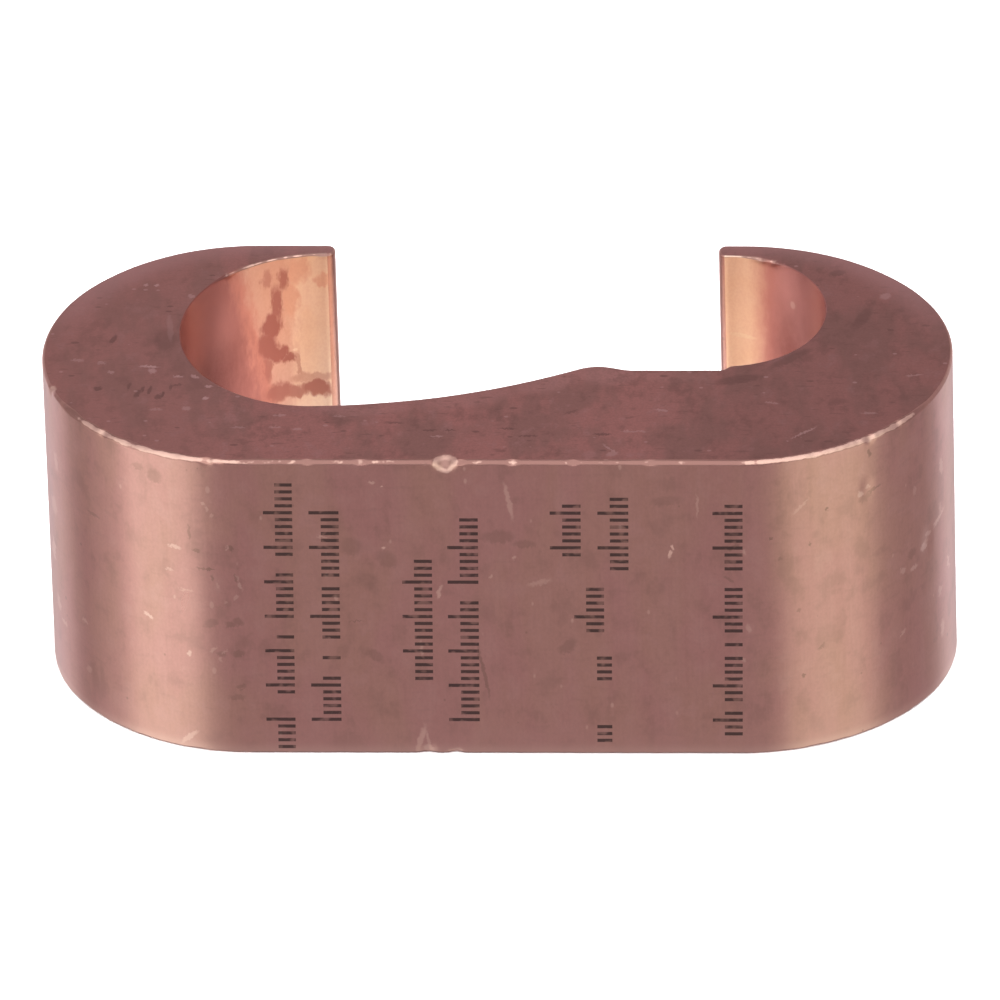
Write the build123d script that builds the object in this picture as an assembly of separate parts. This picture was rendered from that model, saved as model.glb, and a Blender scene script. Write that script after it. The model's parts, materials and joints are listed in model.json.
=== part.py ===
from build123d import *
import math
import os

# Compression connector for ground conductors, in millimetres.
# It is one piece of copper, cut square from a drawn bar with a C-shaped section, and it stands on one of
# its cut ends. The conductors run along Z. X goes along the long side of the section, and the mouth opens
# towards +Y. The large groove, for the run conductor, is at -X, and the small one, for the tap, at +X.

# Outline of the bar
BODY_WIDTH = 54.8
BODY_DEPTH = 23.6
BODY_LENGTH = 21.2

# Rounded ends of the bar: how far each reaches out past the flats, and how far round from its middle the
# tight nose arc goes before the flatter shoulder arcs take over
RUN_END_REACH = 12.45
TAP_END_REACH = 12.85
NOSE_HALF_ANGLE = 42.0

# Groove of the run conductor
RUN_GROOVE_RADIUS = 8.25
RUN_SIDE_WALL = 8.2
RUN_ARM_THICKNESS = 1.1
RUN_ARM_REACH = 0.7

# Groove of the tap conductor
TAP_GROOVE_RADIUS = 6.0
TAP_SIDE_WALL = 7.75
TAP_ARM_THICKNESS = 1.25
TAP_ARM_REACH = 0.65

# Rounded corners of both arm tips
ARM_CORNER_RADIUS = 0.45

# Belly: the long hollow arc that rises from the run groove to the crest. It leaves the groove this many
# degrees past the groove's lowest line.
BELLY_START_ANGLE = 1.6

# Crest: the blunt ridge that keeps the two conductors apart
CREST_TO_TAP = 7.8
CREST_HEIGHT = 0.6
CREST_FALL = 2.1
CREST_RADIUS = 2.5
CREST_FOOT_RADIUS = 1.5

# Flat between the crest and the tap groove, a little below the groove, and the step up to the groove
FLAT_DROP = 0.45
STEP_WIDTH = 0.45
STEP_RADIUS = 0.4

# Rounding of the edges round both cut ends
END_EDGE_RADIUS = 0.2

half_width = BODY_WIDTH / 2
half_depth = BODY_DEPTH / 2

run_centre = Vector(
    RUN_SIDE_WALL + RUN_GROOVE_RADIUS - half_width,
    half_depth - RUN_ARM_THICKNESS - RUN_GROOVE_RADIUS,
)
tap_centre = Vector(
    half_width - TAP_SIDE_WALL - TAP_GROOVE_RADIUS,
    half_depth - TAP_ARM_THICKNESS - TAP_GROOVE_RADIUS,
)


def on_circle(centre, radius, degrees):
    """The point of a circle at an angle, counted from +X towards +Y."""
    turn = math.radians(degrees)
    return Vector(centre.X + radius * math.cos(turn), centre.Y + radius * math.sin(turn))


def angle_at(centre, point):
    """The angle, in degrees from +X, at which a point lies from a centre."""
    return math.degrees(math.atan2(point.Y - centre.Y, point.X - centre.X))


def side_angle(offset, radius):
    """How far round from the Y direction a circle's point lies, when it is this far off to the side."""
    return math.degrees(math.asin(offset / radius))


# Where the arms end, on the grooves and on the back of the bar
run_tip_angle = 90 - side_angle(RUN_ARM_REACH, RUN_GROOVE_RADIUS)
tap_tip_angle = 90 + side_angle(TAP_ARM_REACH, TAP_GROOVE_RADIUS)
run_tip_inside = on_circle(run_centre, RUN_GROOVE_RADIUS, run_tip_angle)
tap_tip_inside = on_circle(tap_centre, TAP_GROOVE_RADIUS, tap_tip_angle)
run_tip_outside = Vector(run_tip_inside.X, half_depth)
tap_tip_outside = Vector(tap_tip_inside.X, half_depth)

# Corners of the front wall's inner side, from the tap groove back to the crest
step_top_angle = -90 + side_angle(STEP_WIDTH, TAP_GROOVE_RADIUS)
step_top = on_circle(tap_centre, TAP_GROOVE_RADIUS, step_top_angle)
step_foot = Vector(tap_centre.X, tap_centre.Y - TAP_GROOVE_RADIUS - FLAT_DROP)
crest = Vector(tap_centre.X - CREST_TO_TAP, step_foot.Y + CREST_HEIGHT)
crest_foot = Vector(crest.X + CREST_FALL, step_foot.Y)

# The belly's circle is tangent to the run groove and passes through the crest
belly_start_angle = BELLY_START_ANGLE - 90
belly_start = on_circle(run_centre, RUN_GROOVE_RADIUS, belly_start_angle)
to_centre = (run_centre - belly_start).normalized()
to_crest = crest - belly_start
belly_radius = to_crest.length**2 / (2 * to_crest.dot(to_centre))
belly_centre = belly_start + to_centre * belly_radius


def end_edges(side, reach):
    """One rounded end of the bar, on the +X side (1) or the -X side (-1): a shoulder, the nose, a shoulder.

    The nose and shoulder radii are the two that make the three arcs run into each other and the flats.
    """
    turn = math.radians(NOSE_HALF_ANGLE)
    radius_gap = (reach - half_depth) / (math.sin(turn) + math.cos(turn) - 1)
    rise = radius_gap * math.sin(turn)
    inset = radius_gap * math.cos(turn)
    flat_end = side * (half_width - reach)
    start = -90 * side
    shoulder_turn = 90 - NOSE_HALF_ANGLE
    last_start = start + 90 + NOSE_HALF_ANGLE
    return [
        CenterArc((flat_end, side * rise), half_depth + rise, start, shoulder_turn),
        CenterArc((flat_end + side * inset, 0), reach - inset, start + shoulder_turn, 2 * NOSE_HALF_ANGLE),
        CenterArc((flat_end, -side * rise), half_depth + rise, last_start, shoulder_turn),
    ]


def outside_edges():
    """The outside of the section, from the tap arm's tip round the front to the run arm's tip."""
    run_flat_end = RUN_END_REACH - half_width
    tap_flat_end = half_width - TAP_END_REACH
    return [
        Line(tap_tip_outside, (tap_flat_end, half_depth)),
        *end_edges(1, TAP_END_REACH),
        Line((tap_flat_end, -half_depth), (run_flat_end, -half_depth)),
        *end_edges(-1, RUN_END_REACH),
        Line((run_flat_end, half_depth), run_tip_outside),
    ]


def inside_edges():
    """The inside of the section, from the run arm's tip through both grooves to the tap arm's tip."""
    run_turn = 360 + belly_start_angle - run_tip_angle
    belly_turn = angle_at(belly_centre, crest) - belly_start_angle
    tap_turn = tap_tip_angle - step_top_angle
    return [
        Line(run_tip_outside, run_tip_inside),
        CenterArc(run_centre, RUN_GROOVE_RADIUS, run_tip_angle, run_turn),
        CenterArc(belly_centre, belly_radius, belly_start_angle, belly_turn),
        Line(crest, crest_foot),
        Line(crest_foot, step_foot),
        Line(step_foot, step_top),
        CenterArc(tap_centre, TAP_GROOVE_RADIUS, step_top_angle, tap_turn),
        Line(tap_tip_inside, tap_tip_outside),
    ]


def round_corner(section, corner, radius):
    """The section with the corner at a point rounded off."""
    nearest = section.vertices().sort_by_distance(corner)[0]
    return fillet(nearest, radius)


def bar_section():
    """The C-shaped section of the drawn bar, with its corners rounded."""
    section = make_face(outside_edges() + inside_edges())
    for corner in (run_tip_outside, run_tip_inside, tap_tip_inside, tap_tip_outside):
        section = round_corner(section, corner, ARM_CORNER_RADIUS)
    section = round_corner(section, crest, CREST_RADIUS)
    section = round_corner(section, crest_foot, CREST_FOOT_RADIUS)
    section = round_corner(section, step_foot, STEP_RADIUS)
    return round_corner(section, step_top, STEP_RADIUS)


def connector_body():
    """The length cut from the bar, with its end edges broken."""
    bar = extrude(bar_section(), BODY_LENGTH)
    ends = bar.faces().filter_by(Axis.Z)
    return fillet(ends.edges(), END_EDGE_RADIUS)


os.makedirs("parts", exist_ok=True)
export_step(connector_body(), "parts/connector_body.step")
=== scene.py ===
"""Looks of a C-shaped copper compression connector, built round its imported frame.

The connector is one piece, so one dense mesh stands for it. Its section is worked out here again from the
frame's box, the two grooves' mounts and a few sizes. What wear did to it is in the mesh: cut edges that are
worn unevenly, nicks, dents and a slight waviness. Lengths are in millimetres until the mesh is made.
"""

import json
import math

import bpy
import numpy as np
from mathutils import Matrix, Vector, kdtree, noise
from mathutils.geometry import delaunay_2d_cdt


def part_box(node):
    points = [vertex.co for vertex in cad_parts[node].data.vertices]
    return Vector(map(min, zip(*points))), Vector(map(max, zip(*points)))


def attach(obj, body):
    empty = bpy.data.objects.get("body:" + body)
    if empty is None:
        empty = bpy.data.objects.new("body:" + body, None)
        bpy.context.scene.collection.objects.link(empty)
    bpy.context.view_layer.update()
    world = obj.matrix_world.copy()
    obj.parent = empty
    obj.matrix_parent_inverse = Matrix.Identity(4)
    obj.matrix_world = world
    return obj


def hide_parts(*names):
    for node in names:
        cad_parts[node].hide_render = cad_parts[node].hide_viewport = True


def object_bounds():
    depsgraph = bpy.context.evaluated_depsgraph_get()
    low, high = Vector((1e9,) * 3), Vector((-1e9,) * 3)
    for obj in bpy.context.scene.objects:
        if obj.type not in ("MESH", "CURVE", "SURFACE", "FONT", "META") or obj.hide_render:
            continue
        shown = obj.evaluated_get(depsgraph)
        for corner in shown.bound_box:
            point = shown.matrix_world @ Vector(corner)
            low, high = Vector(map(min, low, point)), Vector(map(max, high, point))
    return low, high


MM = 0.001

# Section of the bar, apart from what the frame's box and mounts say
RUN_END_REACH = 12.45
TAP_END_REACH = 12.85
NOSE_HALF_ANGLE = 42.0
RUN_ARM_REACH = 0.7
TAP_ARM_REACH = 0.65
ARM_CORNER_RADIUS = 0.45
BELLY_START_ANGLE = 1.6
CREST_TO_TAP = 7.8
CREST_HEIGHT = 0.6
CREST_FALL = 2.1
CREST_RADIUS = 2.5
CREST_FOOT_RADIUS = 1.5
FLAT_DROP = 0.45
STEP_WIDTH = 0.45
STEP_RADIUS = 0.4

# Fineness of the curves and of the mesh. A point nearer than this to a run of points counts as on it.
CURVE_SPACING = 0.02
ON_RUN = 0.04
FINE_SPACING = 0.13
COARSE_SPACING = 0.24
FINE_BELOW_Y = 4.0
WALL_ROWS = 44
EDGE_STEPS = 6
FACE_SPACING = 0.28
FACE_MARGIN = 0.4
CLEAR_SHARE = 0.6
FILL_TOLERANCE = 1e-7

# Worn cut edges: their usual width, how much it wanders and how flat they are worn. They are narrower round
# the grooves, at the foot and where they are dull. The outside is bright up to one Y, less so along the
# straight front, and the grooves' rims only on a part of their back. That brightness is partly wear and
# partly a painted highlight on the edges turned towards the front.
EDGE_RADIUS = 0.3
DULL_EDGE_SHARE = 0.45
DULL_GROOVE_SHARE = 0.1
FOOT_EDGE_SHARE = 0.5
STRAIGHT_WEAR_AND_HIGHLIGHT = 0.45
GROOVE_WEAR_AND_HIGHLIGHT = 0.65
STRAIGHT_HALF = 15.5
EDGE_WANDER = 0.1
EDGE_WAVES = (0.9, 0.9, 0.9)
EDGE_FLATNESS = 1.3
GROOVE_EDGE_SHARE = 0.45
BRIGHT_BELOW_Y = -6.5
BRIGHT_ABOVE_Y = 7.8
TAP_BRIGHT_X = (14.8, 16.6)
DULL_WEAR_AND_HIGHLIGHT = 0.1

# The lengths over which that brightness fades, and the points to each side that the width is evened over
OUTSIDE_FADE = 1.5
GROOVE_FADE = 0.5
EVENING_REACH = 3

# Waviness of the walls and the cut ends: depth, and waves for each millimetre by axis. The walls' goes in
# by shares of its depth along X and Y, and gives way to the ends' over the last length.
WALL_WAVE = 0.015
WALL_WAVES = (0.16, 0.16, 0.05)
WALL_WAVE_SHARES = (0.9, 0.4)
FACE_WAVE = 0.03
FACE_WAVES = (0.12, 0.3, 0.02)
WAVE_FADE = 2.0

# Dents that are pressed into the metal: place, how far they reach, depth and direction of the push
DENTS = (
    ((-2.65, -11.8, 21.2), 1.0, 0.38, (0, 1, -1)),
    ((-1.7, -11.8, 21.2), 0.4, 0.1, (0, 1, -1)),
    ((-23.3, -8.75, 21.2), 0.5, 0.12, (0.6, 0.8, -1)),
    ((-26.6, -4.0, 21.2), 0.6, 0.12, (1, 0.4, -1)),
    ((-25.7, -5.6, 21.2), 0.4, 0.08, (1, 0.6, -1)),
    ((-16.9, -11.7, 21.2), 0.55, 0.12, (0.2, 1, -1)),
    ((-16.2, -11.8, 21.2), 0.4, 0.1, (0.2, 1, -1)),
    ((-7.7, -11.8, 21.2), 0.5, 0.1, (0, 1, -1)),
    ((-10.9, -11.8, 21.2), 0.4, 0.09, (0, 1, -1)),
    ((1.4, -11.8, 21.2), 0.5, 0.1, (0, 1, -1)),
    ((5.0, -11.8, 21.2), 0.4, 0.09, (0, 1, -1)),
    ((9.6, -11.8, 21.2), 0.5, 0.08, (0, 1, -1)),
    ((22.65, -9.1, 21.1), 0.5, 0.12, (-0.6, 0.8, -1)),
    ((24.3, -7.6, 21.2), 0.45, 0.12, (-0.8, 0.6, -1)),
    ((25.9, -5.6, 11.3), 0.9, 0.1, (-1, 0.4, 0)),
    ((22.4, -9.3, 17.7), 0.7, 0.07, (-0.6, 0.8, 0)),
    ((-20.0, -10.8, 19.7), 1.0, 0.05, (0.5, 0.9, 0)),
    ((-4.2, -11.8, 0.3), 0.8, 0.12, (0, 1, 0.6)),
    ((-2.5, -11.8, 0.1), 0.6, 0.12, (0, 1, 1)),
    ((-20.4, -1.6, 21.2), 0.7, 0.06, (0, 0, -1)),
    ((-17.8, -2.6, 21.2), 0.6, 0.07, (0, 0, -1)),
    ((-16.6, 8.6, 21.2), 0.45, 0.1, (-1, 1, -1)),
    ((-11.0, 10.7, 21.2), 0.4, 0.08, (0, 1, -1)),
    ((15.5, 10.2, 21.2), 0.45, 0.11, (0.3, 1, -1)),
    ((16.3, 9.9, 21.2), 0.45, 0.11, (0.4, 1, -1)),
)

# Which material a face of the mesh takes. The front is parted at these X into left, middle and right.
FINISHES = ("wall_back", "wall_left", "wall_front", "wall_right", "groove", "cut_top", "cut_bottom")
LEFT_TO_X = -14.8
RIGHT_FROM_X = 16.0

# A dent this deep counts as struck by 1, and none counts as more than the next value
BARING_DEPTH = 0.14
HARDEST = 1.6

# Ranges over which a strike bares the metal and painted shade darkens a dent's bottom, and over which the
# edges' wear and a dull band of painted shade along them show, the edges chip down to bare metal that is
# partly a painted highlight, and, along X, that band is less dull
STRUCK_BARE = (0.3, 0.55)
STRUCK_SHADE = (0.8, 1.15)
EDGE_SHADE_AND_WEAR_SHOW = (0.05, 0.35)
WORN_CHIPS_AND_HIGHLIGHT = (0.94, 1.08)
DULL_TO_X = (14.5, 17.0)

# Scuffs are frayed by this much, and the grooves' stains by more
FRAY = 0.45
RAGGED = 1.3

# Colours, gloss and relief of the drawn outside, and the heights where its foot is painted paler, as painted
# light from the floor, and then nearly bare, as a painted reflection of the floor
COPPER_PINK = (0.70, 0.382, 0.325)
COPPER_TAN = (0.685, 0.395, 0.31)
COPPER_PALE = (0.76, 0.45, 0.38)
COPPER_DARK = (0.46, 0.25, 0.21)
COPPER_SMOKE = (0.42, 0.255, 0.2)
# Dull dark copper, used as painted shade along the worn edges and at the dents' bottoms
COPPER_DULL_AND_SHADE = (0.35, 0.19, 0.163)
BARE_COPPER = (0.90, 0.61, 0.50)
WALL_ROUGHNESS = 0.3
BARE_ROUGHNESS = 0.42
SCUFFS_ROUGHER = 0.25
INK_ROUGHER = 0.3
WALL_LINES = 0.0007
WALL_GRAIN = 0.0011
FOOT_FLOOR_LIGHT_Z = (3.2, 0.0)
FOOT_FLOOR_REFLECTION_Z = (0.9, 0.1)

# Colours, gloss and relief of the grooves
GROOVE_PEACH = (0.99, 0.78, 0.61)
GROOVE_OCHRE = (0.96, 0.71, 0.50)
GROOVE_APRICOT = (0.77, 0.47, 0.36)
GROOVE_SALMON = (0.69, 0.30, 0.23)
GROOVE_DEEP_SHADE = (0.50, 0.20, 0.165)
GROOVE_SHADE = (0.28, 0.098, 0.082)
GROOVE_ROSE = (0.64, 0.29, 0.255)
GROOVE_STAIN = (0.54, 0.215, 0.17)
GROOVE_TINT = (0.83, 0.49, 0.36)
GROOVE_BRIGHT = (1.0, 0.82, 0.645)
GROOVE_ROUGHNESS = 0.36
GROOVE_LINES = 0.002
GROOVE_GRAIN = 0.001

# Where one of these colours gives way to the next. The apricot, salmon, deep and rose bands are painted
# shade deeper in the grooves, the shade colour is painted shade low down in them, and the bright colour near
# the run arm's tip is a painted highlight. The salmon and deep bands lean by a slant from one Z.
SLANT = 0.18
SLANT_FROM_Z = 17.0
BACK_WALL_Y = (7.0, 8.5)
TIP_X = (-12.0, -10.8)
TIP_END_X = (0.0, -1.0)
APRICOT_X = (-12.2, -13.6)
SALMON_X = (-14.6, -15.6)
DEEP_X = (-15.4, -16.4)
ROSE_X = (14.6, 16.2)
RUN_SHADE_X = (-14.8, -17.2)
RUN_SHADE_Z = (18.2, 14.2)
TAP_SHADE_X = (15.3, 17.4)
TAP_PALER_X = (18.4, 17.5)
TAP_SHADE_Z = (20.5, 14.5)

# Colours, gloss and relief of the cut ends, and where they turn darker, more olive or, at the rim, paler as
# a painted highlight. The fringe's colour is a painted sheen.
CUT_MAUVE = (0.635, 0.31, 0.27)
CUT_OLIVE = (0.505, 0.272, 0.232)
CUT_DARK = (0.30, 0.165, 0.14)
CUT_PALE = (0.68, 0.38, 0.35)
CUT_FLECK = (0.80, 0.52, 0.48)
CUT_RIM_HIGHLIGHT = (0.76, 0.455, 0.43)
CUT_FRINGE_SHEEN = (0.72, 0.39, 0.35)
CUT_ROUGHNESS = 0.5
CUT_LINES = 0.0015
CUT_GRAIN = 0.0025
CUT_DARK_X = (8.0, 17.0)
CUT_OLIVE_X = (-14.0, -19.0)
ROUND_END_X = 14.8
RIM_OUTWARD = (9.6, 12.4)
RIM_Y = (0.0, 9.0)

# Worn ink: its colour, the least and the most that is left of it, the ticks' sizes, and the columns' middle,
# width and runs of ticks, which are counted from the foot
INK = (0.06, 0.045, 0.045)
INK_LEFT = (0.5, 0.88)
PRINT_TILT = 0.95
TICK_PITCH = 0.5
TICK_THICKNESS = 0.24
TICK_SOFTNESS = 0.025
TICKS_TO_LONG = 5
SHORT_TICK = 0.6
PRINT_TOP = 21.2
PRINT_COLUMNS = (
    (-13.05, 1.75, ((1, 5), (9, 15), (17, 17), (20, 26), (29, 39))),
    (-10.3, 1.8, ((5, 11), (14, 14), (17, 24), (26, 35))),
    (-4.75, 1.8, ((11, 28),)),
    (-2.0, 1.85, ((5, 22), (25, 34))),
    (4.15, 1.85, ((29, 36),)),
    (7.0, 1.85, ((27, 37),)),
    (5.55, 1.8, ((18, 24),)),
    (6.15, 1.5, ((2, 4), (11, 14))),
    (13.85, 1.8, ((3, 6), (8, 14), (16, 16), (18, 24), (27, 36))),
)

# Scuffs on the front, by X and Z: middle, half length, half width, turn in degrees and strength
LEFT_LIGHT = (
    ((-18.85, 14.8), 0.5, 0.17, 0, 0.7),
    ((-19.3, 13.1), 0.35, 0.12, 0, 0.5),
    ((-18.3, 11.8), 0.55, 0.11, 0, 0.45),
    ((-20.65, 9.3), 0.4, 0.15, -40, 0.9),
    ((-24.75, 6.6), 0.25, 0.18, -40, 0.6),
    ((-26.1, 4.9), 0.25, 0.2, 45, 0.5),
    ((-18.2, 7.2), 0.2, 0.28, 0, 0.9),
    ((-18.4, 1.05), 1.0, 0.2, 45, 0.75),
    ((-16.8, 17.9), 0.12, 0.3, 20, 0.5),
    ((-16.5, 17.4), 0.3, 0.1, 45, 0.4),
    ((-15.7, 15.1), 0.12, 0.3, -40, 0.5),
    ((-15.1, 13.0), 0.1, 0.3, 20, 0.4),
    ((-24.6, 3.2), 0.2, 0.3, 0, 0.4),
    ((-17.0, 18.2), 0.15, 0.15, 0, 0.6),
    ((-14.95, 12.4), 0.12, 0.4, 20, 0.6),
    ((-15.2, 11.6), 0.3, 0.1, 45, 0.5),
    ((-16.25, 12.3), 0.12, 0.3, 20, 0.4),
    ((-15.8, 11.2), 0.2, 0.1, -40, 0.4),
    ((-16.65, 7.7), 0.13, 0.35, -40, 0.5),
    ((-16.0, 7.6), 0.3, 0.1, 45, 0.45),
    ((-16.3, 7.0), 0.12, 0.25, 20, 0.45),
    ((-26.55, 12.8), 0.2, 0.9, 0, 0.4),
    ((-26.72, 9.3), 0.15, 1.0, 0, 0.6),
    ((-26.5, 5.8), 0.15, 0.7, 0, 0.5),
    ((-26.3, 16.4), 0.2, 0.8, 0, 0.4),
)
LEFT_DARK = (
    ((-19.9, 19.6), 0.6, 0.65, 0, 0.5),
    ((-20.9, 20.0), 0.5, 0.3, 0, 0.4),
    ((-17.5, 14.8), 0.35, 0.16, 0, 0.7),
    ((-16.7, 13.5), 0.35, 0.12, 0, 0.8),
    ((-17.9, 15.9), 0.12, 0.4, 0, 0.6),
    ((-23.9, 15.0), 0.5, 0.16, 0, 0.5),
    ((-16.2, 7.4), 0.35, 0.25, 0, 0.4),
    ((-15.6, 9.6), 0.4, 0.3, 0, 0.5),
    ((-15.4, 4.3), 0.7, 0.3, 0, 0.4),
    ((-15.44, 15.1), 0.2, 0.3, 0, 0.7),
    ((-16.6, 12.9), 0.12, 0.35, 0, 0.6),
    ((-17.2, 13.5), 0.4, 0.12, 0, 0.6),
    ((-17.95, 16.15), 0.1, 0.5, 0, 0.5),
    ((-15.15, 9.8), 0.4, 0.4, 0, 0.5),
    ((-15.2, 7.5), 0.5, 0.3, 20, 0.5),
    ((-16.8, 9.6), 0.6, 0.4, 20, 0.4),
    ((-15.1, 5.1), 0.4, 0.25, 20, 0.5),
    ((-15.2, 13.0), 0.15, 0.4, 0, 0.5),
)
FRONT_LIGHT = (
    ((-6.9, 19.9), 0.28, 0.16, 0, 0.6),
    ((-6.2, 19.6), 0.1, 0.1, 0, 0.8),
    ((-6.3, 15.2), 0.14, 0.14, 0, 0.8),
    ((-3.0, 12.0), 0.7, 0.16, 75, 0.6),
    ((1.3, 18.6), 1.7, 0.2, 100, 0.5),
    ((3.0, 12.7), 1.0, 0.25, 15, 0.35),
    ((10.85, 14.8), 0.35, 0.15, 75, 1.0),
    ((11.0, 15.3), 0.25, 0.12, 100, 1.0),
    ((12.55, 18.3), 0.1, 1.1, 0, 0.4),
    ((0.1, 13.1), 0.15, 0.15, 0, 0.5),
    ((1.5, 14.5), 0.15, 0.2, 0, 0.5),
    ((15.2, 7.1), 0.15, 0.2, 0, 0.4),
    ((15.35, 14.9), 0.1, 0.3, 0, 0.4),
    ((-4.4, 1.2), 1.5, 0.25, 75, 0.55),
    ((-3.9, 1.0), 1.3, 0.12, 100, 0.5),
    ((-2.6, 0.25), 0.5, 0.35, 0, 0.85),
    ((-9.9, 16.0), 0.5, 0.1, 0, 0.45),
    ((-9.2, 11.5), 0.15, 0.2, 0, 0.4),
    ((-4.2, 7.9), 0.12, 0.7, 0, 0.4),
    ((15.5, 9.4), 0.2, 0.4, 0, 0.4),
)
FRONT_DARK = (
    ((-8.2, 15.3), 0.9, 0.8, 0, 0.35),
    ((-6.1, 14.4), 0.7, 0.9, 45, 0.35),
    ((-7.3, 12.8), 0.8, 0.7, 0, 0.25),
    ((-7.0, 7.4), 0.9, 0.4, -40, 0.4),
    ((-8.9, 7.7), 0.5, 0.6, 0, 0.25),
    ((0.6, 16.0), 1.3, 0.6, 0, 0.4),
    ((2.2, 15.5), 0.9, 0.35, 0, 0.4),
    ((4.6, 8.1), 0.9, 0.5, 45, 0.45),
    ((14.75, 15.3), 0.5, 0.2, 45, 0.65),
    ((14.4, 12.9), 0.5, 0.15, -40, 0.5),
    ((10.7, 18.6), 1.3, 0.45, 8, 0.3),
    ((-0.5, 6.2), 2.6, 0.14, 100, 0.6),
    ((-8.1, 9.9), 0.6, 0.08, 0, 0.5),
)
RIGHT_LIGHT = (
    ((22.2, 17.6), 0.3, 0.2, 45, 0.7),
    ((22.7, 17.9), 0.2, 0.15, 0, 0.5),
    ((18.7, 17.8), 0.9, 0.12, 45, 0.35),
    ((25.3, 10.4), 0.3, 0.2, 20, 0.7),
    ((25.9, 11.3), 0.25, 0.35, 0, 0.9),
    ((26.1, 12.0), 0.2, 0.3, 0, 0.7),
    ((26.7, 12.3), 0.5, 0.2, 45, 0.7),
    ((24.65, 10.7), 0.2, 0.3, 0, 0.6),
    ((24.6, 6.2), 0.35, 0.14, 45, 0.6),
    ((25.4, 15.9), 0.15, 0.4, 0, 0.4),
    ((26.8, 7.0), 0.12, 0.5, 0, 0.5),
    ((26.87, 4.1), 0.12, 0.8, 0, 0.5),
    ((27.25, 8.2), 0.08, 0.7, 0, 0.5),
    ((26.8, 12.9), 0.1, 0.6, 0, 0.4),
    ((26.95, 15.8), 0.12, 0.8, 0, 0.5),
)
RIGHT_DARK = (
    ((16.9, 15.8), 0.16, 0.14, 0, 0.8),
    ((17.5, 14.3), 0.18, 0.14, 0, 0.5),
    ((20.3, 17.25), 0.15, 0.15, 0, 0.9),
    ((19.2, 15.0), 0.13, 0.16, 0, 0.8),
    ((18.7, 5.6), 0.16, 0.15, 0, 0.8),
    ((19.8, 7.4), 0.4, 0.13, 45, 0.5),
    ((18.5, 10.4), 0.15, 0.18, 0, 0.5),
    ((22.8, 20.3), 0.12, 0.4, 0, 0.8),
    ((23.0, 17.6), 0.6, 0.14, 20, 0.6),
    ((22.5, 17.2), 0.5, 0.3, 20, 0.4),
    ((25.2, 11.5), 0.3, 0.45, 0, 0.4),
)

# Stains, tinted patches and bare streaks on the grooves' back walls, by X and Z
GROOVE_STAINS = (
    ((-14.4, 19.8), 0.45, 0.85, 0, 0.5),
    ((-13.45, 19.6), 0.42, 1.0, 0, 0.85),
    ((-13.9, 17.9), 0.45, 1.7, 0, 0.9),
    ((-14.2, 16.4), 0.8, 1.2, 0, 1.0),
    ((-14.4, 15.0), 0.9, 1.4, 0, 1.0),
    ((-13.9, 14.3), 0.8, 0.8, 0, 1.0),
    ((-13.2, 13.8), 0.6, 0.5, 0, 0.95),
    ((-14.6, 13.4), 0.45, 1.3, 0, 0.7),
    ((-12.7, 13.6), 0.25, 0.7, 0, 0.5),
    ((-12.6, 12.8), 0.2, 0.6, 0, 0.5),
    ((-13.9, 11.5), 1.2, 0.85, 0, 0.85),
    ((-12.9, 11.3), 1.0, 0.6, 0, 0.8),
    ((-11.6, 11.5), 1.4, 0.75, 0, 0.9),
    ((-11.8, 12.3), 1.9, 0.5, 0, 0.45),
)
GROOVE_TINTS = (
    ((-13.0, 18.1), 0.65, 1.7, 0, 0.8),
    ((-12.5, 20.2), 0.95, 1.3, 0, 0.8),
    ((-11.05, 19.3), 0.65, 0.65, 0, 0.65),
)
GROOVE_STREAKS = (
    ((14.35, 15.45), 1.0, 0.22, -10, 0.8),
    ((17.5, 18.55), 0.2, 0.35, 0, 0.2),
    ((-12.85, 14.4), 0.2, 0.12, 0, 0.6),
)

# Marks on the upper cut end, by X and Y
CUT_LIGHT_MARKS = (
    ((-21.3, 7.5), 0.2, 0.2, 0, 0.7),
    ((-20.65, 7.5), 0.2, 0.2, 0, 0.8),
    ((-20.6, -1.35), 0.85, 0.13, 0, 0.9),
    ((-20.45, -1.8), 0.4, 0.35, -70, 0.7),
    ((-25.0, -0.7), 0.5, 0.2, 0, 0.4),
    ((-23.5, -1.0), 0.35, 0.2, 0, 0.4),
    ((-22.9, -2.0), 0.3, 0.2, 0, 0.5),
    ((-18.8, -2.45), 0.4, 0.14, 0, 0.8),
    ((-17.8, -2.4), 0.35, 0.2, -30, 0.7),
    ((-16.9, -3.5), 0.3, 0.2, 0, 0.8),
    ((-17.1, -4.8), 0.25, 0.2, 40, 0.9),
    ((-19.6, 2.8), 1.9, 0.25, 97, 0.22),
    ((-15.0, -7.9), 0.6, 0.14, 0, 0.4),
    ((-12.7, -7.9), 0.5, 0.12, 0, 0.5),
    ((-11.4, -8.1), 0.45, 0.12, 0, 0.5),
    ((-12.4, -6.6), 0.3, 0.15, 0, 0.5),
    ((-8.95, -6.7), 0.5, 0.12, 0, 0.4),
    ((7.5, -10.7), 0.5, 0.3, 30, 0.4),
    ((18.9, -8.4), 1.2, 0.12, 40, 0.6),
    ((16.9, -5.2), 0.6, 0.12, -10, 0.4),
    ((22.75, -6.3), 0.7, 0.13, -5, 0.4),
    ((25.35, -2.2), 0.6, 0.15, 10, 0.4),
    ((23.4, 6.4), 0.5, 0.4, 50, 0.4),
    ((-18.5, 6.3), 0.3, 0.25, 0, 0.5),
    ((-18.2, -5.9), 0.3, 0.35, 60, 0.45),
    ((-20.0, -6.0), 0.5, 0.15, 0, 0.35),
    ((-3.0, -8.85), 0.5, 0.13, 0, 0.6),
    ((8.7, -8.3), 1.0, 0.12, 0, 0.5),
    ((10.3, -6.0), 0.6, 0.13, -10, 0.5),
    ((7.4, -10.2), 0.9, 0.11, -50, 0.5),
)
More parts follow.
